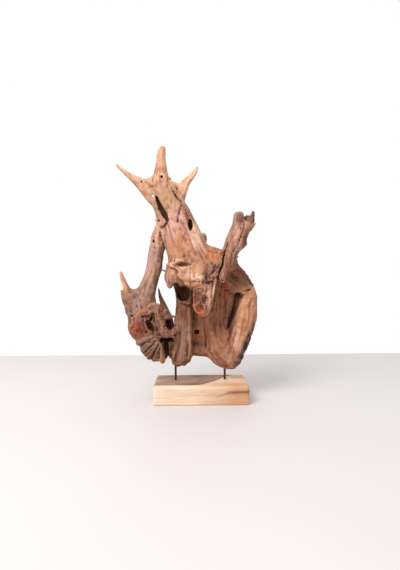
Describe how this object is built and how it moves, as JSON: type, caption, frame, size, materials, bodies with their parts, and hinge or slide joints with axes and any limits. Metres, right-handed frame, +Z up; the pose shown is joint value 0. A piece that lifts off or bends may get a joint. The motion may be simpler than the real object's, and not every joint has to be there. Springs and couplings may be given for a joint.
{
  "type": "teak root sculpture on a stand",
  "caption": "Weathered teak root with antler-like prongs and hollows, held upright on steel rods above a teak block.",
  "frame": {"origin": "middle of the block's underside, on the surface that the piece stands on", "axes": "+Z up, +X to the right of someone who faces the piece, -Y towards them"},
  "size_m": [0.3775, 0.1692, 0.6855],
  "materials": {
    "weathered_teak": "weathered, brushed, unoiled",
    "dark_steel": "blackened round bar",
    "sanded_teak": "sanded, matt"
  },
  "bodies": {
    "root": {"teak_root": "weathered_teak", "rod_left": "dark_steel", "rod_right": "dark_steel", "base_block": "sanded_teak"}
  },
  "joints": []
}
